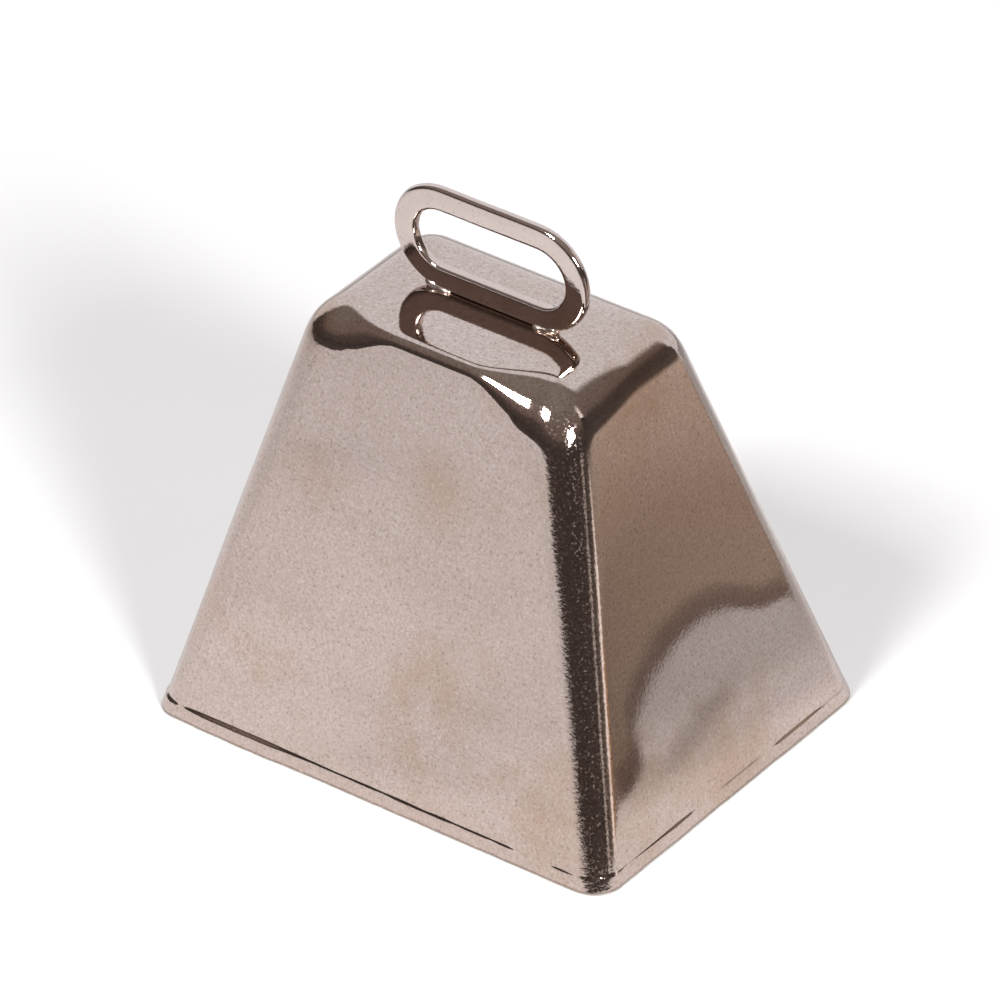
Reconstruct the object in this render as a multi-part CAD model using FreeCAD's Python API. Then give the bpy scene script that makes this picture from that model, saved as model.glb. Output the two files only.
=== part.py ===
import FreeCAD, Part
import math
import os

# Small cowbell of nickel-plated sheet steel.  Millimetres, +Z up, standing on its mouth.
# Origin: centre of the mouth on the floor.  X is the long side of the mouth, Y the short side.

# Shell: a drawn four-sided pyramid stump with rounded edges.
MOUTH_LENGTH = 59.6          # along X, wall planes carried down to the floor
MOUTH_WIDTH = 46.1           # along Y
CROWN_LENGTH = 34.0          # wall planes carried up to the crown plane
CROWN_WIDTH = 20.5
BODY_HEIGHT = 49.5
SHEET = 1.0                  # steel thickness, measured square to the wall
MOUTH_CORNER = 3.6           # outer radius of the upright edges at the mouth
CROWN_CORNER = 6.5           # the same edges at the crown
CROWN_ROUND = 4.0            # rounding between walls and crown
LIP_HEIGHT = 1.8             # the trimmed edge flares out below this crease
LIP_FLARE = 0.3              # how far the rim's outer edge stands out from the wall
INNER_FLARE = 0.15           # the same for the rim's inner edge

# Hanger: a flat stamped link standing on the crown.
HANGER_LENGTH = 25.0
HANGER_HEIGHT = 12.5
HANGER_BAND = 2.8            # width of the metal around the slot
LINK_STOCK = 1.25            # thickness of the strip that hanger and bail are stamped from
EDGE_BREAK = 0.25            # rolled-over corners of the stamped edges

# Bail: a flat U under the crown that carries the clapper.
BAIL_LENGTH = 13.0
BAIL_DEPTH = 7.8             # below the crown's inner face
BAIL_BAND = 2.6
BAIL_CORNER = 5.2            # outer radius of the U's two bends
BAIL_EYE_ROUND = 0.6         # the edge the clapper rides on is almost fully round

# Clapper: forged from one rod, flattened and pierced at the top, upset to a ball below.
EYE_RADIUS = 2.6
EYE_WALL = 2.9               # metal above the eye
RUNNING_GAP = 0.05           # between the eye and the bail's round edge
HEAD_WIDTH = 11.0
HEAD_THICKNESS = 2.2
HEAD_STRAIGHT = 7.5          # the sides are parallel down to here below the eye's centre
HEAD_END = 13.2              # the tapering shoulders end here below the eye's centre
NECK_WIDTH = 5.6             # width of the head where its shoulders end
ROD_RADIUS = 2.1
ROD_START = 9.0              # the rod grows out of the plate here below the eye's centre
ROD_TIP = 2.4                # height of the rounded tip that blends the rod into the plate
BALL_RADIUS = 3.3
BALL_FLAT = 2.9              # from the ball's centre down to the flat under it
FLOOR_CLEARANCE = 0.5        # under the clapper when the bell stands on its mouth

# Weld beads, as half sizes along X, Y and Z.
HANGER_BEAD = (2.0, 1.5, 1.3)
HANGER_BEAD_X = 6.9          # each bead fills the wedge under one rounded end of the hanger
BAIL_BEAD = (2.4, 1.7, 1.3)

SLOPE = (MOUTH_LENGTH - CROWN_LENGTH) / 2 / BODY_HEIGHT
SHEET_LEVEL = SHEET / math.cos(math.atan(SLOPE))   # sheet thickness measured level
CEILING = BODY_HEIGHT - SHEET                      # inner face of the crown

CUTTER = 20.0                # edge of the boxes that trim beads and clapper to a plane
TOLERANCE = 1e-6


def rounded_rectangle(length, width, radius, z):
    """Closed wire of four lines and four arcs, level at height z."""
    x = length / 2
    y = width / 2
    k = radius * (1 - math.sqrt(0.5))
    corners = []
    for sx, sy in ((1, -1), (1, 1), (-1, 1), (-1, -1)):
        on_side = FreeCAD.Vector(sx * x, sy * (y - radius), z)
        middle = FreeCAD.Vector(sx * (x - k), sy * (y - k), z)
        on_front = FreeCAD.Vector(sx * (x - radius), sy * y, z)
        if sx * sy > 0:
            corners.append((on_side, middle, on_front))
        else:
            corners.append((on_front, middle, on_side))
    edges = []
    for i, (start, middle, end) in enumerate(corners):
        following = corners[(i + 1) % len(corners)][0]
        edges.append(Part.Arc(start, middle, end).toShape())
        edges.append(Part.LineSegment(end, following).toShape())
    return Part.Wire(edges)


def wall_section(z, inset, flare):
    """Outline of the shell at height z, moved in by inset and out by flare."""
    corner = MOUTH_CORNER + (CROWN_CORNER - MOUTH_CORNER) * z / BODY_HEIGHT
    grow = flare - inset - SLOPE * z
    length = MOUTH_LENGTH + 2 * grow
    width = MOUTH_WIDTH + 2 * grow
    return rounded_rectangle(length, width, corner + flare - inset, z)


def shell_block(top, inset, flare):
    """The shell's outer or inner form as one solid with a rounded crown."""
    sections = [wall_section(0, inset, flare),
                wall_section(LIP_HEIGHT, inset, 0),
                wall_section(top, inset, 0)]
    block = Part.makeLoft(sections, True, True)
    crown_edges = [e for e in block.Edges
                   if all(abs(v.Z - top) < TOLERANCE for v in e.Vertexes)]
    return block.makeFillet(CROWN_ROUND - inset, crown_edges)


def make_shell():
    outer = shell_block(BODY_HEIGHT, 0, LIP_FLARE)
    inner = shell_block(CEILING, SHEET_LEVEL, INNER_FLARE)
    return outer.cut(inner)


def stadium(length, height, low):
    """Upright outline in the XZ plane with half-round ends."""
    r = height / 2
    x = length / 2 - r
    low_left = FreeCAD.Vector(-x, 0, low)
    low_right = FreeCAD.Vector(x, 0, low)
    top_left = FreeCAD.Vector(-x, 0, low + height)
    top_right = FreeCAD.Vector(x, 0, low + height)
    right = FreeCAD.Vector(x + r, 0, low + r)
    left = FreeCAD.Vector(-x - r, 0, low + r)
    return Part.Wire([Part.LineSegment(low_left, low_right).toShape(),
                      Part.Arc(low_right, right, top_right).toShape(),
                      Part.LineSegment(top_right, top_left).toShape(),
                      Part.Arc(top_left, left, low_left).toShape()])


def u_outline(length, depth, radius):
    """Upright U in the XZ plane that hangs from the ceiling and is closed by it."""
    x = length / 2
    low = CEILING - depth
    k = radius * (1 - math.sqrt(0.5))
    points = [FreeCAD.Vector(-x, 0, CEILING), FreeCAD.Vector(-x, 0, low + radius),
              FreeCAD.Vector(-x + radius, 0, low), FreeCAD.Vector(x - radius, 0, low),
              FreeCAD.Vector(x, 0, low + radius), FreeCAD.Vector(x, 0, CEILING)]
    left_bend = FreeCAD.Vector(-x + k, 0, low + k)
    right_bend = FreeCAD.Vector(x - k, 0, low + k)
    return Part.Wire([Part.LineSegment(points[0], points[1]).toShape(),
                      Part.Arc(points[1], left_bend, points[2]).toShape(),
                      Part.LineSegment(points[2], points[3]).toShape(),
                      Part.Arc(points[3], right_bend, points[4]).toShape(),
                      Part.LineSegment(points[4], points[5]).toShape(),
                      Part.LineSegment(points[5], points[0]).toShape()])


def stamped(wire):
    """Extrude an XZ outline to the strip's thickness, centred on Y = 0."""
    solid = Part.Face(wire).extrude(FreeCAD.Vector(0, LINK_STOCK, 0))
    solid.translate(FreeCAD.Vector(0, -LINK_STOCK / 2, 0))
    return solid


def face_edges(solid):
    """The edges that bound the two flat faces of a stamped solid."""
    half = LINK_STOCK / 2
    return [e for e in solid.Edges if abs(e.CenterOfMass.y) > half - TOLERANCE]


def make_hanger():
    outer = stamped(stadium(HANGER_LENGTH, HANGER_HEIGHT, BODY_HEIGHT))
    slot = stamped(stadium(HANGER_LENGTH - 2 * HANGER_BAND, HANGER_HEIGHT - 2 * HANGER_BAND,
                           BODY_HEIGHT + HANGER_BAND))
    hanger = outer.cut(slot)
    return hanger.makeFillet(EDGE_BREAK, face_edges(hanger))


def make_bail():
    """The U, with a well rounded inner edge and broken outer edges."""
    slot_length = BAIL_LENGTH - 2 * BAIL_BAND
    slot_depth = BAIL_DEPTH - BAIL_BAND
    outer = stamped(u_outline(BAIL_LENGTH, BAIL_DEPTH, BAIL_CORNER))
    bail = outer.cut(stamped(u_outline(slot_length, slot_depth, BAIL_CORNER - BAIL_BAND)))
    inner_edges = []
    outer_edges = []
    for edge in face_edges(bail):
        centre = edge.CenterOfMass
        if centre.z > CEILING - TOLERANCE:
            continue
        across = abs(centre.x) < slot_length / 2 + TOLERANCE
        above = centre.z > CEILING - slot_depth - TOLERANCE
        (inner_edges if across and above else outer_edges).append(edge)
    bail = bail.makeFillet(BAIL_EYE_ROUND, inner_edges)
    return bail.makeFillet(EDGE_BREAK, outer_edges)


def ellipsoid(centre, half_sizes):
    matrix = FreeCAD.Matrix()
    matrix.scale(*half_sizes)
    body = Part.makeSphere(1.0).transformGeometry(matrix)
    body.translate(centre)
    return body


def cutter(x, low):
    """Box centred on X = x and Y = 0 that reaches up from low."""
    corner = FreeCAD.Vector(x - CUTTER / 2, -CUTTER / 2, low)
    return Part.makeBox(CUTTER, CUTTER, CUTTER, corner)


def make_hanger_bead(side, hanger):
    """Bead in the wedge between the crown and one rounded end of the hanger."""
    x = side * HANGER_BEAD_X
    bead = ellipsoid(FreeCAD.Vector(x, 0, BODY_HEIGHT), HANGER_BEAD)
    return bead.common(cutter(x, BODY_HEIGHT)).cut(hanger)


def make_bail_bead(side, bail):
    """Bead around one foot of the bail, under the crown."""
    x = side * (BAIL_LENGTH - BAIL_BAND) / 2
    bead = ellipsoid(FreeCAD.Vector(x, 0, CEILING), BAIL_BEAD)
    return bead.common(cutter(x, CEILING - CUTTER)).cut(bail)


def make_clapper():
    """Flat pierced head in the YZ plane, round rod and ball, hanging plumb."""
    ride = CEILING - BAIL_DEPTH + BAIL_BAND
    eye = ride + RUNNING_GAP - EYE_RADIUS
    half = HEAD_WIDTH / 2
    neck = NECK_WIDTH / 2
    crown = eye + EYE_RADIUS + EYE_WALL
    spring = crown - half
    x = -HEAD_THICKNESS / 2
    points = [FreeCAD.Vector(x, half, spring), FreeCAD.Vector(x, half, eye - HEAD_STRAIGHT),
              FreeCAD.Vector(x, neck, eye - HEAD_END), FreeCAD.Vector(x, -neck, eye - HEAD_END),
              FreeCAD.Vector(x, -half, eye - HEAD_STRAIGHT), FreeCAD.Vector(x, -half, spring)]
    edges = [Part.LineSegment(a, b).toShape() for a, b in zip(points, points[1:])]
    edges.append(Part.Arc(points[-1], FreeCAD.Vector(x, 0, crown), points[0]).toShape())
    head = Part.Face(Part.Wire(edges)).extrude(FreeCAD.Vector(HEAD_THICKNESS, 0, 0))
    ball_z = FLOOR_CLEARANCE + BALL_FLAT
    rod_top = eye - ROD_START
    rod = Part.makeCylinder(ROD_RADIUS, rod_top - ball_z, FreeCAD.Vector(0, 0, ball_z))
    tip = ellipsoid(FreeCAD.Vector(0, 0, rod_top), (ROD_RADIUS, ROD_RADIUS, ROD_TIP))
    ball = Part.makeSphere(BALL_RADIUS, FreeCAD.Vector(0, 0, ball_z))
    body = head.fuse([rod, tip, ball]).removeSplitter()
    hole = Part.makeCylinder(EYE_RADIUS, HEAD_THICKNESS, FreeCAD.Vector(x, 0, eye),
                             FreeCAD.Vector(1, 0, 0))
    return body.cut(hole).cut(cutter(0, FLOOR_CLEARANCE - CUTTER))


hanger = make_hanger()
bail = make_bail()
parts = {
    "shell": make_shell(),
    "hanger_loop": hanger,
    "hanger_weld_left": make_hanger_bead(-1, hanger),
    "hanger_weld_right": make_hanger_bead(1, hanger),
    "clapper_bail": bail,
    "bail_weld_left": make_bail_bead(-1, bail),
    "bail_weld_right": make_bail_bead(1, bail),
    "clapper": make_clapper(),
}

os.makedirs("parts", exist_ok=True)
for name, shape in parts.items():
    shape.exportStep("parts/" + name + ".step")
    print(name, shape.isValid(), len(shape.Solids), round(shape.Volume, 1))
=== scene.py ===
import math

import bmesh
import bpy
from mathutils import Matrix, Quaternion, Vector, noise


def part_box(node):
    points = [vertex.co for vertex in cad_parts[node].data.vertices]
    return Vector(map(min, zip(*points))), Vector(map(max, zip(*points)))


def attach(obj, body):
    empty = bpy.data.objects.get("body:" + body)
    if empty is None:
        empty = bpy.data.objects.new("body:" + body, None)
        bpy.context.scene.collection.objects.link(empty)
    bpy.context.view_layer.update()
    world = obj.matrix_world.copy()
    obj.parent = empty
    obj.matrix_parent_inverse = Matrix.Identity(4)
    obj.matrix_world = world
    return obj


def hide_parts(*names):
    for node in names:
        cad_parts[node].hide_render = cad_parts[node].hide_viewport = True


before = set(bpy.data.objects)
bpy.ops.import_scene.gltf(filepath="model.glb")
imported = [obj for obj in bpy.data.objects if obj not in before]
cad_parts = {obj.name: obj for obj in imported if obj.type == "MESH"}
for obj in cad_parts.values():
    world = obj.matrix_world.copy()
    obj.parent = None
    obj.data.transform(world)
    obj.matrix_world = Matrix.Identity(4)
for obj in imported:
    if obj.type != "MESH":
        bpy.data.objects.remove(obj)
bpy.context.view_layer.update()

MM = 0.001

# ---------------------------------------------------------------- sizes, in metres
shell_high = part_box("shell")[1]
hanger_low, hanger_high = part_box("hanger_loop")
bail_low, bail_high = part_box("clapper_bail")
clapper_low, clapper_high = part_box("clapper")

BODY_HEIGHT = shell_high.z
LIP_FLARE = 0.3 * MM
MOUTH_X = shell_high.x - LIP_FLARE        # wall planes carried down to the floor
MOUTH_Y = shell_high.y - LIP_FLARE
CROWN_X = 17.0 * MM                       # and up to the crown plane
MOUTH_CORNER = 3.6 * MM
CROWN_CORNER = 6.5 * MM
CROWN_ROUND = 4.0 * MM
SHEET = 1.0 * MM
CORNER_REACH = 4.5 * MM                   # how far the rounding of a corner spreads over a wall
SLOPE = (MOUTH_X - CROWN_X) / BODY_HEIGHT
LEAN = math.atan(SLOPE)

CORNER_STEPS = 14
LONG_STEPS = 44
SHORT_STEPS = 30


# ---------------------------------------------------------------- mesh helpers
def smooth_step(low, high, value):
    t = min(max((value - low) / (high - low), 0.0), 1.0)
    return t * t * (3 - 2 * t)


def ring(half_x, half_y, radius, z):
    """Level rounded rectangle, counter-clockwise from the front right corner."""
    turns = ((1, -1), (1, 1), (-1, 1), (-1, -1))
    points = []
    for k, (sx, sy) in enumerate(turns):
        cx = sx * (half_x - radius)
        cy = sy * (half_y - radius)
        for i in range(CORNER_STEPS + 1):
            a = math.radians(-90 + 90 * k + 90 * i / CORNER_STEPS)
            points.append(Vector((cx + radius * math.cos(a), cy + radius * math.sin(a), z)))
        nx, ny = turns[(k + 1) % 4]
        a = math.radians(90 * k)
        target = Vector((nx * (half_x - radius) + radius * math.cos(a),
                         ny * (half_y - radius) + radius * math.sin(a), z))
        start = points[-1].copy()
        steps = SHORT_STEPS if k % 2 == 0 else LONG_STEPS
        points += [start.lerp(target, i / steps) for i in range(1, steps)]
    return points


def wall_ring(z, offset):
    corner = MOUTH_CORNER + (CROWN_CORNER - MOUTH_CORNER) * z / BODY_HEIGHT
    return ring(MOUTH_X - SLOPE * z + offset, MOUTH_Y - SLOPE * z + offset, corner + offset, z)


def crown_rings(top, half_x, half_y, fillet, wall_corner, crown_corner, steps):
    """The rounding from the wall to the crown plane, wall end first."""
    tangent = fillet * math.tan((math.pi / 2 - LEAN) / 2)
    rings = []
    for i in range(steps + 1):
        a = LEAN + (math.pi / 2 - LEAN) * i / steps
        grow = fillet * math.cos(a) - tangent
        blend = (math.cos(LEAN) - math.cos(a)) / math.cos(LEAN)
        corner = wall_corner + (crown_corner - wall_corner) * blend
        z = top - fillet + fillet * math.sin(a)
        rings.append(ring(half_x + grow, half_y + grow, corner, z))
    return rings


def join_rings(mesh, rings, material):
    """Faces between consecutive rings of bmesh vertices."""
    for a, b in zip(rings, rings[1:]):
        n = len(a)
        for i in range(n):
            j = (i + 1) % n
            face = mesh.faces.new((a[i], a[j], b[j], b[i]))
            face.material_index = material
            face.smooth = True


def close_ring(mesh, ring_verts, material, flip=False):
    verts = list(reversed(ring_verts)) if flip else list(ring_verts)
    face = mesh.faces.new(verts)
    face.material_index = material
    face.smooth = True


def new_object(name, mesh, materials):
    data = bpy.data.meshes.new(name)
    bmesh.ops.recalc_face_normals(mesh, faces=mesh.faces)
    mesh.to_mesh(data)
    mesh.free()
    for material in materials:
        data.materials.append(material)
    obj = bpy.data.objects.new(name, data)
    bpy.context.scene.collection.objects.link(obj)
    return obj


def subdivide(obj, levels):
    modifier = obj.modifiers.new("Smooth", "SUBSURF")
    modifier.levels = levels
    modifier.render_levels = levels


def settle(obj, node, body):
    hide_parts(node)
    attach(obj, body)


# ---------------------------------------------------------------- material helpers
class Nodes:
    """Small helper that builds and links shader nodes."""

    def __init__(self, tree):
        self.tree = tree
        tree.nodes.clear()

    def add(self, kind, inputs=None, **props):
        node = self.tree.nodes.new(kind)
        for key, value in props.items():
            setattr(node, key, value)
        for key, value in (inputs or {}).items():
            socket = node.inputs[key]
            if isinstance(value, bpy.types.NodeSocket):
                self.tree.links.new(value, socket)
            else:
                socket.default_value = value
        return node

    def math(self, operation, a, b=0.0, c=0.0, clamp=False):
        node = self.add("ShaderNodeMath", operation=operation, use_clamp=clamp)
        for i, value in enumerate((a, b, c)):
            if isinstance(value, bpy.types.NodeSocket):
                self.tree.links.new(value, node.inputs[i])
            else:
                node.inputs[i].default_value = value
        return node.outputs[0]

    def split(self, where):
        return self.add("ShaderNodeSeparateXYZ", {"Vector": where}).outputs

    def map(self, value, low, high, **props):
        """0 to 1 as the value goes from low to high."""
        inputs = {"Value": value, "From Min": low, "From Max": high}
        return self.add("ShaderNodeMapRange", inputs, **props).outputs["Result"]

    def vector(self, operation, a, b=None, output="Vector"):
        inputs = {0: a} if b is None else {0: a, 1: b}
        return self.add("ShaderNodeVectorMath", inputs, operation=operation).outputs[output]

    def noise(self, where, scale, detail=2.0, rough=0.5, distortion=0.0):
        node = self.add("ShaderNodeTexNoise", {"Vector": where, "Scale": scale, "Detail": detail,
                                               "Roughness": rough, "Distortion": distortion})
        return node.outputs["Fac"]

    def ramp(self, fac, stops, interpolation="EASE"):
        node = self.add("ShaderNodeValToRGB", {"Fac": fac})
        ramp = node.color_ramp
        ramp.interpolation = interpolation
        while len(ramp.elements) > 1:
            ramp.elements.remove(ramp.elements[-1])
        first = True
        for position, value in stops:
            colour = (value, value, value, 1) if isinstance(value, float) else (*value, 1)
            if first:
                element = ramp.elements[0]
                element.position = position
                first = False
            else:
                element = ramp.elements.new(position)
            element.color = colour
        return node.outputs["Color"]

    def mix(self, fac, a, b):
        node = self.add("ShaderNodeMix", data_type="RGBA")
        for socket, value in ((node.inputs[0], fac), (node.inputs[6], a), (node.inputs[7], b)):
            if isinstance(value, bpy.types.NodeSocket):
                self.tree.links.new(value, socket)
            elif isinstance(value, tuple):
                socket.default_value = (*value, 1)
            else:
                socket.default_value = value
        return node.outputs[2]

    def bump(self, height, distance, strength=1.0, normal=None):
        inputs = {"Height": height, "Distance": distance, "Strength": strength}
        if normal is not None:
            inputs["Normal"] = normal
        return self.add("ShaderNodeBump", inputs).outputs["Normal"]


def new_material(name):
    material = bpy.data.materials.new(name)
    material.use_nodes = True
    nodes = Nodes(material.node_tree)
    where = nodes.add("ShaderNodeTexCoord").outputs["Object"]
    return material, nodes, where


def metal(nodes, colour, roughness, normal, metallic=1.0):
    inputs = {"Base Color": colour, "Metallic": metallic, "Roughness": roughness, "Normal": normal}
    shader = nodes.add("ShaderNodeBsdfPrincipled", inputs)
    nodes.add("ShaderNodeOutputMaterial", {"Surface": shader.outputs[0]})


def corner_mask(n, where):
    """1 along the four upright corners of the shell, 0 on its faces."""
    place = n.split(where)
    near = []
    for axis, reach in (("X", MOUTH_X), ("Y", MOUTH_Y)):
        side = n.math("MULTIPLY_ADD", place["Z"], SLOPE, n.math("ABSOLUTE", place[axis]))
        near.append(n.math("SUBTRACT", side, reach - CORNER_REACH))
    depth = n.math("MINIMUM", near[0], near[1])
    return n.math("DIVIDE", depth, 2.0 * MM, clamp=True)


def nickel_plate():
    """Bright warm nickel with orange peel, cloudy haze and a few faint brown stains, with painted
    shade: a mottled darkening strongest at mid-height and a dark band along the foot.
    """
    material, n, where = new_material("nickel_plate")
    haze = n.noise(where, 70, 4, 0.6)
    peel = n.noise(where, 2300, 3, 0.62)
    speck = n.noise(where, 3400, 1, 0.5)
    stain = n.ramp(n.noise(where, 58, 4, 0.62, 0.3), [(0.50, 0.0), (0.72, 1.0)])
    grain = n.noise(where, 2900, 2, 0.7)
    plate = n.mix(n.ramp(haze, [(0.3, 0.0), (0.7, 1.0)]),
                  (0.575, 0.485, 0.44), (0.635, 0.545, 0.505))
    plate = n.mix(n.ramp(grain, [(0.32, 0.0), (0.68, 1.0)]), (0.50, 0.41, 0.365), plate)
    spot = n.vector("DISTANCE", where, Vector((3.5, -14.0, 36.0)) * MM, "Value")
    spot = n.math("MULTIPLY_ADD", n.noise(where, 160, 4, 0.6), 0.007, spot)
    spot = n.ramp(n.math("DIVIDE", spot, 0.012), [(0.28, 0.75), (0.85, 0.0)])
    stain = n.math("MAXIMUM", stain, spot)
    stained_and_shaded = n.mix(n.math("MULTIPLY", stain, 0.55), plate, (0.43, 0.29, 0.20))
    height = n.split(where)["Z"]
    # Painted shade: a mottled darkening, strongest at mid-height and weaker near the rim and the
    # crown, laid over random mottling.
    mid_height_shade = n.ramp(n.math("DIVIDE", height, BODY_HEIGHT),
                   [(0.12, 0.10), (0.50, 0.34), (0.98, 0.16)])
    gloom = n.ramp(n.noise(where, 34, 3, 0.55), [(0.34, 0.25), (0.62, 1.0)])
    stained_and_shaded = n.mix(n.math("MULTIPLY", gloom, mid_height_shade), stained_and_shaded, (0.37, 0.29, 0.25))
    # Painted shade: the outer sheet goes dark within about half a millimetre of the floor,
    # standing in for contact shade.
    foot = n.ramp(n.math("DIVIDE", height, 1 * MM), [(0.26, 0.62), (0.46, 0.0)])
    stained_and_shaded = n.mix(foot, stained_and_shaded, (0.13, 0.10, 0.085))
    grime = n.math("MULTIPLY", n.ramp(speck, [(0.28, 1.0), (0.40, 0.0)]), 0.42)
    colour = n.mix(grime, stained_and_shaded, (0.20, 0.14, 0.11))
    sheen = n.math("MULTIPLY", n.ramp(speck, [(0.62, 0.0), (0.72, 1.0)]), 0.25)
    colour = n.mix(sheen, colour, (0.85, 0.77, 0.72))
    rough = n.math("MULTIPLY_ADD", haze, 0.03, 0.03)
    rough = n.math("MULTIPLY_ADD", stain, 0.04, rough)
    pits = n.math("MULTIPLY", n.ramp(speck, [(0.52, 0.0), (0.70, 1.0)]), corner_mask(n, where))
    rough = n.math("MULTIPLY_ADD", pits, 0.15, rough)
    ripple = n.noise(where, 420, 2, 0.5)
    height = n.math("MULTIPLY_ADD", ripple, 0.25, peel)
    normal = n.bump(height, 0.010 * MM, n.math("MULTIPLY_ADD", corner_mask(n, where), 1.5, 0.30))
    metal(n, colour, rough, normal)
    return material


def sheared_rim():
    """The trimmed edge: bright, torn and grainy."""
    material, n, where = new_material("sheared_rim")
    grain = n.noise(where, 2400, 4, 0.7)
    tears = n.noise(where, 700, 3, 0.6)
    colour = n.mix(grain, (0.50, 0.42, 0.36), (0.86, 0.80, 0.74))
    rough = n.math("MULTIPLY_ADD", grain, 0.25, 0.18)
    normal = n.bump(n.math("MULTIPLY_ADD", tears, 1.5, grain), 0.10 * MM, 1.0)
    metal(n, colour, rough, normal)
    return material


def inner_plate():
    """Thin dull plate inside the bell: brown with light specks, and a painted reflection that
    makes the crown's flat paler.
    """
    material, n, where = new_material("inner_plate")
    cloud = n.noise(where, 110, 4, 0.6)
    speck = n.noise(where, 2300, 2, 0.6)
    colour = n.mix(n.ramp(cloud, [(0.3, 0.0), (0.7, 1.0)]),
                   (0.26, 0.205, 0.175), (0.46, 0.39, 0.345))
    # Painted reflection: an oval in the middle of the crown's inner flat is painted pale.
    squashed = n.vector("MULTIPLY", where, Vector((1, 1.55, 0)))
    out = n.vector("LENGTH", squashed, output="Value")
    out = n.math("MULTIPLY_ADD", n.noise(where, 300, 3, 0.6), 1.6 * MM, out)
    height = n.split(where)["Z"]
    pale = n.math("MULTIPLY", n.ramp(n.math("DIVIDE", out, 20 * MM), [(0.66, 1.0), (0.74, 0.0)]),
                  n.ramp(n.math("DIVIDE", height, BODY_HEIGHT), [(0.93, 0.0), (0.96, 1.0)]))
    colour = n.mix(n.math("MULTIPLY", pale, 0.85), colour, (0.70, 0.63, 0.57))
    light = n.ramp(speck, [(0.58, 0.0), (0.72, 1.0)])
    colour = n.mix(n.math("MULTIPLY", light, 0.55), colour, (0.80, 0.73, 0.66))
    rough = n.math("MULTIPLY_ADD", cloud, 0.16, 0.24)
    normal = n.bump(n.noise(where, 1700, 3, 0.6), 0.03 * MM, 1.0)
    metal(n, colour, rough, normal, n.math("MULTIPLY_ADD", light, -0.35, 0.95))
    return material


def link_plate():
    """Nickel on the stamped link, a little smoother than the drawn shell."""
    material, n, where = new_material("link_plate")
    haze = n.noise(where, 260, 3, 0.55)
    peel = n.noise(where, 2600, 3, 0.6)
    speck = n.noise(where, 3600, 1, 0.5)
    colour = n.mix(haze, (0.58, 0.49, 0.45), (0.67, 0.58, 0.545))
    grime = n.math("MULTIPLY", n.ramp(speck, [(0.28, 1.0), (0.38, 0.0)]), 0.3)
    colour = n.mix(grime, colour, (0.22, 0.16, 0.13))
    rough = n.math("MULTIPLY_ADD", haze, 0.05, 0.03)
    normal = n.bump(peel, 0.010 * MM, 0.9)
    metal(n, colour, rough, normal)
    return material


def bead_metal():
    """Weld nugget with heat colours under the plate."""
    material, n, where = new_material("bead_metal")
    heat = n.noise(where, 620, 3, 0.6)
    colour = n.ramp(heat, [(0.28, (0.32, 0.22, 0.16)), (0.42, (0.60, 0.50, 0.44)),
                           (0.58, (0.72, 0.65, 0.61))])
    rough = n.math("MULTIPLY_ADD", heat, 0.22, 0.14)
    normal = n.bump(n.noise(where, 1500, 3, 0.6), 0.03 * MM, 1.0)
    metal(n, colour, rough, normal)
    return material


def bail_metal():
    """Worn steel strip, darker towards the crown."""
    material, n, where = new_material("bail_metal")
    cloud = n.noise(where, 420, 4, 0.6)
    grain = n.noise(where, 2600, 3, 0.7)
    colour = n.mix(cloud, (0.26, 0.19, 0.13), (0.60, 0.49, 0.37))
    height = n.split(where)["Z"]
    height = n.math("MULTIPLY_ADD", cloud, 1.5 * MM, height)
    # The strip's colour goes near black over its top end, by the crown.
    dark_at_crown = n.ramp(n.math("DIVIDE", height, BODY_HEIGHT), [(0.88, 0.0), (0.99, 0.85)])
    colour = n.mix(dark_at_crown, colour, (0.085, 0.08, 0.085))
    rough = n.math("MULTIPLY_ADD", grain, 0.25, 0.20)
    normal = n.bump(grain, 0.03 * MM, 0.9)
    metal(n, colour, rough, normal)
    return material


def dark_bead():
    """Unplated weld nugget."""
    material, n, where = new_material("dark_bead")
    cloud = n.noise(where, 700, 4, 0.65)
    colour = n.mix(cloud, (0.05, 0.042, 0.038), (0.22, 0.17, 0.13))
    rough = n.math("MULTIPLY_ADD", cloud, 0.3, 0.30)
    normal = n.bump(n.noise(where, 1600, 4, 0.7), 0.10 * MM, 1.0)
    metal(n, colour, rough, normal, 0.9)
    return material


def forged_metal():
    """Clapper: dark filed head, mottled golden rod, bright worn ball."""
    material, n, where = new_material("forged_metal")
    height = n.split(where)["Z"]
    place = n.math("DIVIDE", height, clapper_high.z)
    mottle = n.noise(where, 380, 5, 0.68, 0.4)
    grain = n.noise(where, 2500, 3, 0.7)
    rod = n.mix(mottle, (0.26, 0.18, 0.11), (0.66, 0.54, 0.40))
    head = n.mix(mottle, (0.11, 0.095, 0.085), (0.40, 0.36, 0.33))
    ball = n.mix(mottle, (0.45, 0.38, 0.31), (0.74, 0.68, 0.62))
    jitter = n.math("MULTIPLY_ADD", mottle, 0.12, n.math("ADD", place, -0.06))
    colour = n.mix(n.ramp(jitter, [(0.54, 0.0), (0.70, 1.0)]), rod, head)
    colour = n.mix(n.ramp(jitter, [(0.13, 1.0), (0.20, 0.0)]), colour, ball)
    rough = n.math("MULTIPLY_ADD", grain, 0.28, 0.20)
    hammer = n.noise(where, 560, 3, 0.6)
    normal = n.bump(n.math("MULTIPLY_ADD", hammer, 2.0, grain), 0.06 * MM, 0.9)
    metal(n, colour, rough, normal)
    return material


# ---------------------------------------------------------------- shell
def wander(point, scale, seed):
    """Smooth value between about -1 and 1 that varies over 1/scale metres."""
    return noise.noise(point * scale + Vector((seed, -seed, 2.0 * seed)))


LIP_FLAT = 1.52 * MM                      # the lip stands out below this height
LIP_TOP = 1.95 * MM                       # and has faded by this one


def round_meet(a, b, radius):
    """Signed distance to the solid where two half spaces meet in a rounded edge."""
    u = max(radius + a, 0.0)
    v = max(radius + b, 0.0)
    return min(-radius, max(a, b)) + math.hypot(u, v)


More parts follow.
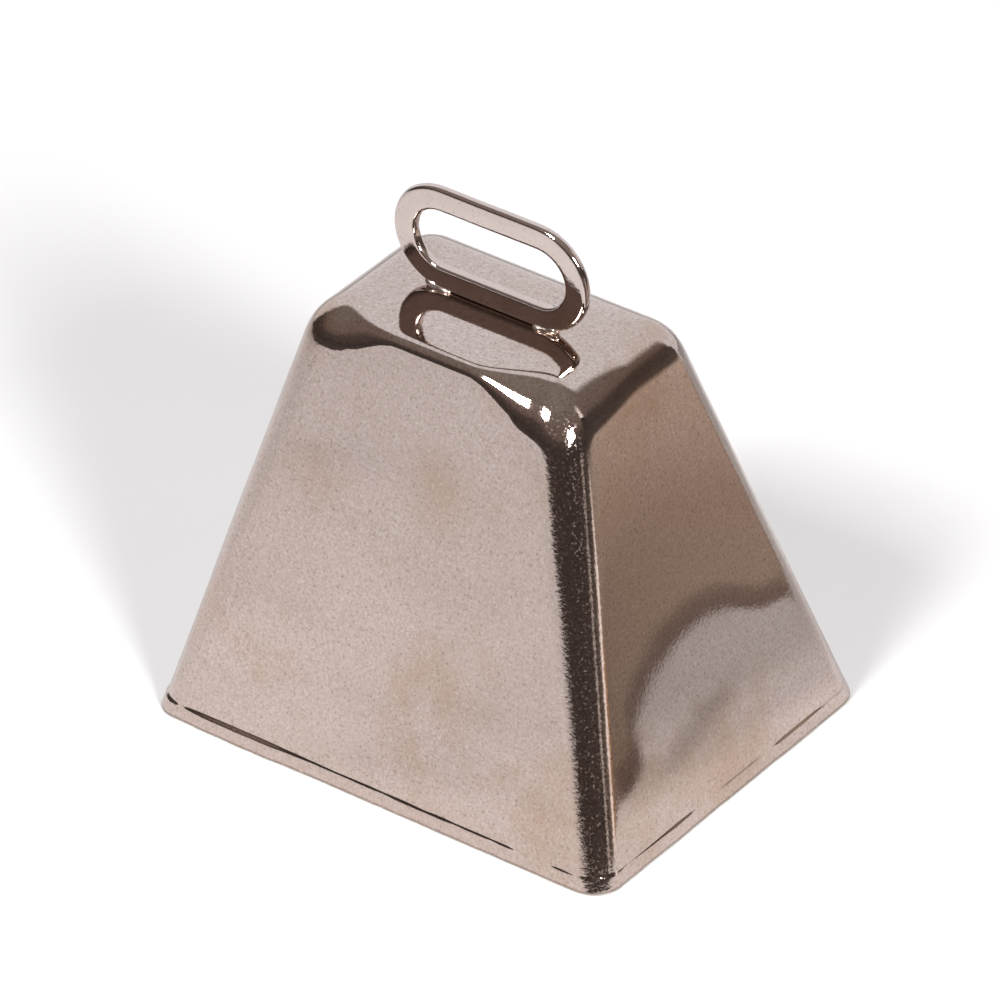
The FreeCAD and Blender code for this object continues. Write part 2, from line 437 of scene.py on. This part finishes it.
# Swells of the lip: place on the rim and width in millimetres, extra strength
LIP_SWELLS = (
    ((-18.0, -23.0), 5.6, 0.62),
    ((-11.5, -23.0), 4.2, 0.20),
    ((-28.8, -22.5), 2.4, 0.34),
    ((8.0, -23.0), 10.0, 0.07),
    ((29.5, 12.0), 4.5, 0.20),
    ((29.5, -9.0), 2.0, 0.12),
    ((14.0, 23.0), 8.0, 0.35),
    ((-29.5, 4.0), 7.0, 0.40),
    ((-12.0, 23.0), 5.0, 0.20),
)


def lip_stand(p):
    """How far the lip stands out. It swells and fades, so its crease comes and goes."""
    around = Vector((p.x, p.y, 0))
    dash = smooth_step(-0.22, 0.12, wander(around, 430, 6.0) + 0.5 * wander(around, 1300, 3.0))
    strength = 0.03 + (0.15 + 0.05 * wander(around, 200, 8.0)) * dash
    for (x, y), width, extra in LIP_SWELLS:
        gap = (around - Vector((x, y, 0)) * MM).length / (width * MM)
        strength += extra * math.exp(-gap ** 4) * (1 + 0.35 * wander(around, 420, 5.0))
    beyond_x = abs(p.x) - (MOUTH_X - CORNER_REACH)
    beyond_y = abs(p.y) - (MOUTH_Y - CORNER_REACH)
    strength *= 1 - 0.15 * smooth_step(0, 4 * MM, min(beyond_x, beyond_y))
    strength = min(max(strength, 0.04), 0.97)
    low = LIP_FLAT + 0.05 * MM * wander(around, 150, 2.0)
    return strength * (1 - smooth_step(low, LIP_TOP, p.z))


def shell_distance(p, inset):
    """Signed distance to the formed sheet's outer side, moved inward by inset."""
    stand = lip_stand(p) * LIP_FLARE * (1.0 if inset == 0 else 0.5)
    tilt = math.cos(LEAN)
    dx = (abs(p.x) - (MOUTH_X - SLOPE * p.z)) * tilt + inset - stand
    dy = (abs(p.y) - (MOUTH_Y - SLOPE * p.z)) * tilt + inset - stand
    dz = p.z - BODY_HEIGHT + inset
    corner = 3.3 * MM + 0.012 * p.z - inset
    walls = round_meet(dx, dy, corner)
    toward_end = max(smooth_step(4.5 * MM, 12.5 * MM, abs(p.x)), smooth_step(-8 * MM, 0, p.y))
    open_corner = smooth_step(9 * MM, 16 * MM, p.x) * smooth_step(1 * MM, -9 * MM, p.y)
    crown = (0.9 + 3.2 * toward_end + 1.3 * open_corner) * MM - inset
    return round_meet(walls, dz, max(crown, 0.7 * MM))


def shell_rings(outer):
    """Starting rings of one side of the sheet, from the rim up to the middle of the crown."""
    inset = 0 if outer else SHEET / math.cos(LEAN)
    top = BODY_HEIGHT - (0 if outer else SHEET)
    fillet = CROWN_ROUND - (0 if outer else SHEET)
    steps = 42
    # closer together where the lip's crease is
    low = [0.14, 0.5, 0.9, 1.25, 1.42, 1.5, 1.57, 1.64,
           1.71, 1.78, 1.85, 1.92, 2.0, 2.12, 2.5, 3.2]
    rings = [wall_ring(z * MM, -inset) for z in low]
    tangent = fillet * math.tan((math.pi / 2 - LEAN) / 2)
    wall_top = top - tangent * math.cos(LEAN)
    start = low[-1] * MM
    for i in range(1, steps):
        rings.append(wall_ring(start + (wall_top - start) * i / steps, -inset))
    half_x = MOUTH_X - SLOPE * top - inset
    half_y = MOUTH_Y - SLOPE * top - inset
    wall_corner = MOUTH_CORNER + (CROWN_CORNER - MOUTH_CORNER) * wall_top / BODY_HEIGHT - inset
    crown_corner = CROWN_CORNER - inset - tangent
    rings += crown_rings(top, half_x, half_y, fillet, wall_corner, crown_corner, 18)
    flat_x = half_x - tangent
    flat_y = half_y - tangent
    for k in (0.96, 0.92, 0.87, 0.81, 0.74, 0.66, 0.56, 0.45, 0.34, 0.23, 0.13, 0.05):
        rings.append(ring(flat_x * k, flat_y * k, crown_corner * k, top))
    return rings


SETTLING = 9                              # steps of a point toward the formed surface


def form(mesh, rows, inset):
    """Carry the starting rings onto the rounded sheet and add its slow waviness."""
    mesh.normal_update()
    for row in rows:
        for vert in row:
            p = vert.co.copy()
            out = vert.normal.copy()
            if p.z < 4 * MM:
                out = Vector((out.x, out.y, 0)).normalized()
            for _ in range(SETTLING):
                p -= out * shell_distance(p, inset)
            fade = smooth_step(2.2 * MM, 9 * MM, p.z)
            fade *= smooth_step(BODY_HEIGHT, BODY_HEIGHT - 5 * MM, p.z)
            shift = 0.05 * MM * wander(p, 55, 3.1) + 0.02 * MM * wander(p, 130, 7.7)
            vert.co = p + out * shift * fade


def make_shell(plate, rim, inside):
    mesh = bmesh.new()
    sides = []
    for outer in (True, False):
        sides.append([[mesh.verts.new(p) for p in r] for r in shell_rings(outer)])
    join_rings(mesh, sides[0], 0)
    close_ring(mesh, sides[0][-1], 0)
    join_rings(mesh, sides[1], 2)
    close_ring(mesh, sides[1][-1], 2)
    form(mesh, sides[0], 0)
    form(mesh, sides[1], SHEET)
    lower = []
    first, last = sides[0][0], sides[1][0]
    for k, z in ((0.04, 0.05), (0.12, 0.0), (0.5, 0.0), (0.88, 0.0), (0.96, 0.05)):
        row = []
        for a, b in zip(first, last):
            p = a.co.lerp(b.co, k)
            tear = 0.03 * MM * (0.5 + 0.5 * wander(p, 900, 1.3))
            row.append(mesh.verts.new(Vector((p.x, p.y, z * MM + tear))))
        lower.append(row)
    join_rings(mesh, [sides[0][0]] + lower + [sides[1][0]], 1)
    obj = new_object("bell_shell", mesh, [plate, rim, inside])
    subdivide(obj, 1)
    settle(obj, "shell", "bell")
    return obj


# ---------------------------------------------------------------- stamped strips
def strip_section(band, stock, rounds):
    """Closed outline of a strip: (across the band, through the stock), with four edge radii."""
    outline = []
    corners = ((1, 1), (-1, 1), (-1, -1), (1, -1))
    for k, (sx, sy) in enumerate(corners):
        r = rounds[k]
        cx = sx * (band / 2 - r)
        cy = sy * (stock / 2 - r)
        for i in range(4):
            a = math.radians(90 * k + 90 * i / 3)
            outline.append((cx + r * math.cos(a), cy + r * math.sin(a)))
    return outline


def sweep(mesh, stations, section, closed, material, jitter):
    """Carry the section along stations of (point, outward direction) in the XZ plane."""
    rows = []
    for point, outward in stations:
        row = []
        for across, through in section:
            p = point + outward * across + Vector((0, through, 0))
            row.append(mesh.verts.new(p + jitter(p)))
        rows.append(row)
    if closed:
        rows.append(rows[0])
    join_rings(mesh, rows, material)
    if not closed:
        close_ring(mesh, rows[0], material)
        close_ring(mesh, rows[-1], material, True)


def stadium_stations(half_length, radius, centre_z, arc_steps, straight_steps):
    stations = []
    for side in (1, -1):
        for i in range(arc_steps + 1):
            a = math.radians(-90 + 180 * i / arc_steps + (0 if side > 0 else 180))
            outward = Vector((math.cos(a), 0, math.sin(a)))
            centre = Vector((side * half_length, 0, centre_z))
            stations.append((centre + outward * radius, outward))
        for i in range(1, straight_steps):
            x = side * half_length * (1 - 2 * i / straight_steps)
            outward = Vector((0, 0, side))
            stations.append((Vector((x, 0, centre_z)) + outward * radius, outward))
    return stations


def make_hanger(plate):
    length = hanger_high.x - hanger_low.x
    height = hanger_high.z - hanger_low.z
    stock = hanger_high.y - hanger_low.y
    band = 2.8 * MM
    outer_radius = height / 2
    stations = stadium_stations(length / 2 - outer_radius, outer_radius - band / 2,
                                hanger_low.z + outer_radius, 22, 12)
    section = strip_section(band, stock, (0.57 * MM, 0.36 * MM, 0.36 * MM, 0.57 * MM))

    def jitter(p):
        return Vector((0, 0.03 * MM * wander(p, 160, 5.0), 0))

    mesh = bmesh.new()
    sweep(mesh, stations, section, True, 0, jitter)
    obj = new_object("hanger_link", mesh, [plate])
    subdivide(obj, 2)
    settle(obj, "hanger_loop", "bell")
    return obj


def make_bail(steel):
    """Flat U: straight legs, two wide bends, a short bar between them."""
    stock = bail_high.y - bail_low.y
    half = (bail_high.x - bail_low.x) / 2
    band = 2.6 * MM
    bend = 5.2 * MM
    middle = bend - band / 2
    centre_z = bail_low.z + bend
    stations = []
    legs = 5
    for i in range(legs):
        z = bail_high.z + (centre_z - bail_high.z) * i / legs
        stations.append((Vector((half - band / 2, 0, z)), Vector((1, 0, 0))))
    for i in range(11):
        a = math.radians(-90 * i / 10)
        outward = Vector((math.cos(a), 0, math.sin(a)))
        stations.append((Vector((half - bend, 0, centre_z)) + outward * middle, outward))
    for i in range(1, 4):
        x = (half - bend) * (1 - 2 * i / 4)
        stations.append((Vector((x, 0, centre_z - middle)), Vector((0, 0, -1))))
    for i in range(11):
        a = math.radians(-90 - 90 * i / 10)
        outward = Vector((math.cos(a), 0, math.sin(a)))
        stations.append((Vector((bend - half, 0, centre_z)) + outward * middle, outward))
    for i in range(1, legs + 1):
        z = centre_z + (bail_high.z - centre_z) * i / legs
        stations.append((Vector((band / 2 - half, 0, z)), Vector((-1, 0, 0))))
    section = strip_section(band, stock, (0.2 * MM, 0.58 * MM, 0.58 * MM, 0.2 * MM))

    def jitter(p):
        return Vector((0, 0.02 * MM * wander(p, 500, 2.0), 0))

    mesh = bmesh.new()
    sweep(mesh, stations, section, False, 0, jitter)
    obj = new_object("bail_strip", mesh, [steel])
    subdivide(obj, 2)
    settle(obj, "clapper_bail", "bell")
    return obj


# ---------------------------------------------------------------- weld nuggets
def make_bead(name, node, material, lumps, seed, hang=False, base=0.74):
    """Nugget of a few melted lumps on the sheet, kept inside its CAD node's box."""
    low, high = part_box(node)
    half_x = (high.x - low.x) / 2
    half_y = (high.y - low.y) / 2
    rise = high.z - low.z
    foot = high.z if hang else low.z
    mesh = bmesh.new()
    bmesh.ops.create_icosphere(mesh, subdivisions=5, radius=1.0)
    for vert in mesh.verts:
        unit = vert.co.normalized()
        swell = base
        for (x, y, z), size in lumps:
            swell += size * max(0.0, unit.dot(Vector((x, y, z)).normalized())) ** 5
        swell += 0.05 * wander(unit, 1.6, seed)
        p = unit * min(swell, 1.0)
        lift = max(p.z, -0.02) * rise * (-1 if hang else 1)
        vert.co = Vector(((low.x + high.x) / 2 + p.x * half_x, p.y * half_y, foot + lift))
    for vert in mesh.verts:
        vert.co.z = min(max(vert.co.z, low.z), high.z)
    for face in mesh.faces:
        face.smooth = True
    obj = new_object(name, mesh, [material])
    settle(obj, node, "bell")
    return obj


# ---------------------------------------------------------------- clapper
HEAD_HALF = 5.5 * MM
HEAD_THICK = 1.1 * MM                     # half of its thickness
ROD = 2.1 * MM
BALL = 3.3 * MM
BALL_CENTRE = clapper_low.z + 2.9 * MM    # below it the ball ends flat
EYE = 2.6 * MM


def clapper_half_widths(z, eye):
    """Half width along Y, half thickness along X and squareness of the level section at z."""
    top = eye + HEAD_HALF
    if z > eye:
        y = math.sqrt(max(HEAD_HALF ** 2 - (z - eye) ** 2, 0.0))
        thin = HEAD_THICK * (0.75 + 0.25 * smooth_step(top, top - 1.5 * MM, z))
        return max(y, 0.02 * MM), thin, 1.0
    shoulder = smooth_step(eye - 14.5 * MM, eye - 6.5 * MM, z)
    y = ROD + (HEAD_HALF - ROD) * shoulder
    x = ROD + (HEAD_THICK - ROD) * smooth_step(eye - 13.0 * MM, eye - 8.0 * MM, z)
    square = smooth_step(eye - 15 * MM, eye - 9 * MM, z)
    gap = z - BALL_CENTRE
    if abs(gap) < BALL:
        ball = math.sqrt(BALL ** 2 - gap ** 2)
        y = max(y, ball)
        x = max(x, ball)
    return y, x, square


def make_clapper(steel):
    eye = clapper_high.z - HEAD_HALF
    levels = 150
    around = 40
    mesh = bmesh.new()
    rings = []
    for i in range(levels + 1):
        z = clapper_low.z + (clapper_high.z - clapper_low.z) * i / levels
        y, x, square = clapper_half_widths(z, eye)
        power = 2 / (2 + 3.5 * square)
        row = []
        for k in range(around):
            a = 2 * math.pi * k / around
            c = math.cos(a)
            s = math.sin(a)
            px = x * math.copysign(abs(c) ** power, c)
            py = y * math.copysign(abs(s) ** power, s)
            row.append(mesh.verts.new(Vector((px, py, z))))
        rings.append(row)
    join_rings(mesh, rings, 0)
    close_ring(mesh, rings[0], 0, True)
    close_ring(mesh, rings[-1], 0)
    body = new_object("clapper_blank", mesh, [])

    cut = bmesh.new()
    bmesh.ops.create_cone(cut, cap_ends=True, segments=48, radius1=EYE, radius2=EYE,
                          depth=8 * MM, matrix=Matrix.Translation((0, 0, eye))
                          @ Matrix.Rotation(math.pi / 2, 4, "Y"))
    drill = new_object("clapper_drill", cut, [])
    hole = body.modifiers.new("Eye", "BOOLEAN")
    hole.operation = "DIFFERENCE"
    hole.solver = "EXACT"
    hole.object = drill
    remesh = body.modifiers.new("Remesh", "REMESH")
    remesh.mode = "VOXEL"
    remesh.voxel_size = 0.16 * MM
    relax = body.modifiers.new("Relax", "SMOOTH")
    relax.factor = 0.5
    relax.iterations = 4
    graph = bpy.context.evaluated_depsgraph_get()
    data = bpy.data.meshes.new_from_object(body.evaluated_get(graph))
    for blank in (body, drill):
        bpy.data.objects.remove(blank)

    data.name = "clapper_forging"
    for vert in data.vertices:
        p = vert.co.copy()
        out = Vector((math.copysign(1, p.x) if abs(p.x) > 0.3 * MM else 0, 0, 0))
        head = smooth_step(eye - 12 * MM, eye - 8 * MM, p.z)
        far = math.hypot(p.y, p.z - eye)
        keep = smooth_step(2.8 * MM, 4.0 * MM, far)
        hammered = 0.10 * MM * wander(p, 330, 9.0) * head * keep
        vert.co = p + out * hammered
    for polygon in data.polygons:
        polygon.use_smooth = True
    data.materials.clear()
    data.materials.append(steel)
    obj = bpy.data.objects.new("clapper_forging", data)
    bpy.context.scene.collection.objects.link(obj)
    settle(obj, "clapper", "clapper")
    return obj


# ---------------------------------------------------------------- build
plate = nickel_plate()
make_shell(plate, sheared_rim(), inner_plate())
make_hanger(link_plate())
bead = bead_metal()
make_bead("hanger_nugget_left", "hanger_weld_left", bead,
          [((-1, -0.3, 0.75), 0.46), ((1, -0.4, 0.15), 0.36), ((-0.5, 1, 0.3), 0.30)],
          1.0, base=0.54)
make_bead("hanger_nugget_right", "hanger_weld_right", bead,
          [((1, -0.2, 0.75), 0.46), ((-1, -0.5, 0.2), 0.34), ((0.4, 1, 0.3), 0.30)],
          2.0, base=0.54)
make_bail(bail_metal())
dark_at_crown = dark_bead()
make_bead("bail_nugget_left", "bail_weld_left", dark_at_crown,
          [((-1, 0.4, 0.3), 0.26), ((0.6, -0.8, 0.3), 0.24)], 3.0, hang=True)
make_bead("bail_nugget_right", "bail_weld_right", dark_at_crown,
          [((1, 0.3, 0.3), 0.26), ((-0.6, 0.8, 0.3), 0.24)], 4.0, hang=True)
make_clapper(forged_metal())


# ---------------------------------------------------------------- studio
def flat_sheet(name, outline, z, material):
    mesh = bmesh.new()
    mesh.faces.new([mesh.verts.new((x, y, z)) for x, y in outline])
    obj = new_object(name, mesh, [material])
    return obj


def glossy_only(obj):
    obj.visible_camera = False
    obj.visible_diffuse = False
    obj.visible_shadow = False
    obj.visible_transmission = False


def camera_only(obj):
    obj.visible_diffuse = False
    obj.visible_glossy = False
    obj.visible_shadow = False
    obj.visible_transmission = False


COVE_RADIUS = 1.7
FLOOR_Z = -0.03 * MM
MIRRORED_Z = -0.01 * MM
# Outline as listed: four far corners, then the edge on the bell's right from back to front
MIRRORED_CORNERS = [
    (0.12, -0.75), (-0.8, -0.8), (-0.8, 0.7), (0.16, 0.6), (0.10, 0.21), (0.068, 0.125),
    (0.060, 0.088), (0.058, 0.062), (0.067, 0.051), (0.075, 0.051), (0.073, 0.039),
    (0.064, 0.023), (0.049, 0.002), (0.060, -0.028), (0.082, -0.061),
    (0.112, -0.108), (0.112, -0.229), (0.096, -0.336)]
CURVE_STEPS = 24
CARD_FIRST = 6                            # corners between which the card stands
CARD_LAST = 12


def paper(name, colour, painted_shadows):
    """Matt pale paper. The mirrored sheet has painted shadows and a painted falloff of light; the
    other glows far out.
    """
    material, n, where = new_material(name)
    far = n.vector("LENGTH", where, output="Value")
    brightness = 0.0
    if painted_shadows:
        # Painted shadows and falloff: the mirrored sheet darkens away from the bell and toward the
        # back, with soft dark clouds and an oval dark spot.
        fade = n.ramp(n.math("DIVIDE", far, 0.30), [(0.12, 1.0), (1.0, 0.74)])
        cloud = n.ramp(n.noise(where, 26, 3, 0.5), [(0.30, 0.88), (0.55, 1.0)])
        turned = n.add("ShaderNodeMapping", {"Vector": where, "Location": (-0.0396, 0.0397, 0),
                                             "Rotation": (0, 0, math.radians(-66))}).outputs[0]
        oval = n.vector("MULTIPLY", turned, Vector((58, 250, 0)))
        spot = n.vector("LENGTH", oval, output="Value")
        spot = n.math("MULTIPLY_ADD", n.noise(where, 260, 3, 0.6), 0.9, spot)
        spot = n.ramp(n.math("DIVIDE", spot, 2.0), [(0.36, 0.70), (0.74, 1.0)])
        toward_back = n.vector("DOT_PRODUCT", where, Vector((10.0, 3.5, 0)), "Value")
        drop = n.ramp(toward_back, [(0.40, 1.0), (0.52, 0.74), (0.74, 0.60)])
        shade = n.math("MULTIPLY", n.math("MULTIPLY", fade, cloud), n.math("MULTIPLY", spot, drop))
        colour = n.mix(shade, (0.0, 0.0, 0.0), colour)
    else:
        colour = n.mix(n.noise(where, 4, 2), colour, tuple(0.99 * c for c in colour))
        brightness = n.ramp(n.math("DIVIDE", far, COVE_RADIUS),
                            [(0.12, 0.0), (0.25, 0.20), (0.36, 0.33),
                             (0.50, 0.42), (0.68, 0.50), (1.0, 0.60)])
    shader = n.add("ShaderNodeBsdfPrincipled", {"Base Color": colour, "Roughness": 0.9,
                                                "Emission Color": (1, 1, 1, 1),
                                                "Emission Strength": brightness})
    n.add("ShaderNodeOutputMaterial", {"Surface": shader.outputs[0]})
    return material


def smooth_outline(corners, steps):
    """Closed Catmull-Rom curve through the corners."""
    points = []
    count = len(corners)
    for i in range(count):
        a, b, c, d = (Vector(corners[(i + k) % count]) for k in (-1, 0, 1, 2))
        for k in range(steps):
            t = k / steps
            points.append(0.5 * (2 * b + (c - a) * t + (2 * a - 5 * b + 4 * c - d) * t ** 2
                                 + (3 * b - a - 3 * c + d) * t ** 3))
    return points


def standing_strip(name, path, foot, height, material):
    """An upright strip along the path."""
    mesh = bmesh.new()
    rows = [[mesh.verts.new((p.x, p.y, z)) for z in (foot, foot + height)] for p in path]
    for a, b in zip(rows, rows[1:]):
        mesh.faces.new((a[0], b[0], b[1], a[1]))
    obj = new_object(name, mesh, [material])
    return obj


def glow(n, colour, strength=1.0):
    shader = n.add("ShaderNodeEmission", {"Color": colour, "Strength": strength})
    n.add("ShaderNodeOutputMaterial", {"Surface": shader.outputs[0]})


def make_cove():
    """Plain pale wall around the floor, seen by the camera only."""
    material, n, where = new_material("pale_cove")
    glow(n, n.mix(n.noise(where, 3, 2), (1.0, 1.0, 1.0), (0.98, 0.98, 0.985)))
    count = 96
    turns = [2 * math.pi * i / count for i in range(count + 1)]
    path = [COVE_RADIUS * Vector((math.cos(a), math.sin(a))) for a in turns]
    camera_only(standing_strip("cove", path, -0.1, 3.0, material))


def make_card(path):
    """Brown card standing beside the bell's right wall, seen only in the metal."""
    material, n, where = new_material("brown_card")
    place = n.split(where)
    level = n.math("DIVIDE", place["Z"], 0.06)
    wavy = n.math("MULTIPLY_ADD", n.noise(where, 90, 3, 0.6), 0.06, n.math("ADD", level, -0.03))
    tone = n.ramp(wavy, [(0.0, (0.17, 0.13, 0.115)), (0.035, (0.20, 0.155, 0.135)),
                         (0.06, (0.33, 0.265, 0.22)), (0.20, (0.34, 0.265, 0.22)),
                         (0.42, (0.46, 0.375, 0.32)), (0.58, (0.50, 0.42, 0.365)),
                         (0.72, (0.10, 0.08, 0.07)), (1.0, (0.08, 0.065, 0.06))])
    lift = n.add("ShaderNodeMapRange", {"Value": place["Y"], "From Min": 0.01, "From Max": 0.055,
                                        "To Min": 0.98, "To Max": 1.38}).outputs["Result"]
    glow(n, tone, lift)
    glossy_only(standing_strip("brown_card", path, MIRRORED_Z, 0.07, material))


def make_floor():
    """Wide pale floor under the bell, which the metal does not mirror."""
    wide = 6.0
    square = [(-wide, -wide), (wide, -wide), (wide, wide), (-wide, wide)]
    floor = flat_sheet("floor", square, FLOOR_Z, paper("pale_floor", (0.60, 0.60, 0.605), False))
    floor.visible_glossy = False


def make_mirrored_floor(outline):
    """The floor as the metal mirrors it. It ends near the bell's right wall."""
    mirrored = flat_sheet("floor_in_reflections", outline, 0.0,
                          paper("reflected_floor", (0.56, 0.555, 0.56), True))
    mirrored.location.z = MIRRORED_Z
    glossy_only(mirrored)


def direction(azimuth, elevation):
    a, e = math.radians(azimuth), math.radians(elevation)
    return Vector((math.cos(a) * math.cos(e), math.sin(a) * math.cos(e), math.sin(e)))


def studio_world():
    """Dim brown room with a pale patch behind the bell and narrow light sectors at its right."""
    world = bpy.data.worlds.new("studio")
    bpy.context.scene.world = world
    world.use_nodes = True
    n = Nodes(world.node_tree)
    where = n.add("ShaderNodeTexCoord").outputs["Generated"]
    up = n.split(where)["Z"]

    def soft(value, low, high):
        return n.map(value, low, high, interpolation_type="SMOOTHSTEP")

    def toward(azimuth, elevation, wide, narrow):
        """1 within narrow degrees of the direction, 0 beyond wide degrees."""
        near = n.vector("DOT_PRODUCT", where, direction(azimuth, elevation), "Value")
        return soft(near, math.cos(math.radians(wide)), math.cos(math.radians(narrow)))

    def beyond(azimuth, blur):
        """1 on the counter-clockwise side of the upright plane at the azimuth."""
        side = n.vector("DOT_PRODUCT", where, direction(azimuth + 90, 0), "Value")
        return soft(side, -blur, blur)

    def between(a, b):
        return n.math("MULTIPLY", a, n.math("SUBTRACT", 1.0, b))

    def sector(start, end, blur=0.015):
        return between(beyond(start, blur), beyond(end, blur))

    def height(low, high, blur=0.05):
        return between(soft(up, low - blur, low + blur), soft(up, high - blur, high + blur))

    sky = n.ramp(n.math("MULTIPLY_ADD", up, 0.5, 0.5),
                 [(0.35, (0.22, 0.175, 0.15)), (0.39, (0.36, 0.29, 0.24)),
                  (0.42, (0.30, 0.24, 0.20)), (0.47, (0.10, 0.082, 0.075)),
                  (0.56, (0.075, 0.062, 0.057)), (0.68, (0.11, 0.088, 0.078)),
                  (0.77, (0.24, 0.19, 0.17)), (0.82, (0.25, 0.20, 0.18)),
                  (0.90, (0.27, 0.235, 0.215)), (1.0, (0.33, 0.29, 0.265))])
    sky = n.mix(toward(116, 14, 61, 55), sky, (0.99, 1.0, 1.04))
    for start, end, top, colour in ((316, 346, 0.0, (0.17, 0.125, 0.10)),
                                    (358, 3, 0.0, (1.0, 0.93, 0.88)),
                                    (21, 29, 0.75, (1.5, 1.4, 1.35)),
                                    (30, 34, 0.3, (0.62, 0.36, 0.18))):
        sky = n.mix(n.math("MULTIPLY", sector(start, end), height(-0.6, top)), sky, colour)
    shader = n.add("ShaderNodeBackground", {"Color": sky, "Strength": 1.0})
    n.add("ShaderNodeOutputWorld", {"Surface": shader.outputs[0]})


def soft_light(name, azimuth, elevation, distance, size, power):
    data = bpy.data.lights.new(name, "AREA")
    data.shape = "SQUARE"
    data.size = size
    data.energy = power
    obj = bpy.data.objects.new(name, data)
    bpy.context.scene.collection.objects.link(obj)
    back = direction(azimuth, elevation)
    obj.location = back * distance
    obj.rotation_mode = "QUATERNION"
    obj.rotation_quaternion = back.to_track_quat("Z", "Y")
    return obj


def make_camera():
    data = bpy.data.cameras.new("camera")
    data.sensor_width = 36.0
    data.lens = 367.8
    data.clip_start = 0.01
    camera = bpy.data.objects.new("camera", data)
    bpy.context.scene.collection.objects.link(camera)
    camera.location = Vector((0.5442, -0.6855, 0.6290))
    aim = Vector((0, 0, 25.5 * MM))
    roll = Quaternion((0, 0, 1), math.radians(-1.89))
    camera.rotation_mode = "QUATERNION"
    camera.rotation_quaternion = (camera.location - aim).to_track_quat("Z", "Y") @ roll
    bpy.context.scene.camera = camera


make_floor()
make_cove()
outline = smooth_outline(MIRRORED_CORNERS, CURVE_STEPS)
make_mirrored_floor(outline)
make_card(outline[CARD_FIRST * CURVE_STEPS:CARD_LAST * CURVE_STEPS])
studio_world()
soft_light("soft_left", 259, 49, 1.6, 0.355, 24.6)
soft_light("soft_right", 336, 30, 1.6, 0.32, 32.2)
overhead = soft_light("soft_top", 120, 80, 1.1, 0.9, 1.2)
overhead.visible_glossy = False
make_camera()
bpy.context.scene.view_settings.view_transform = "Standard"
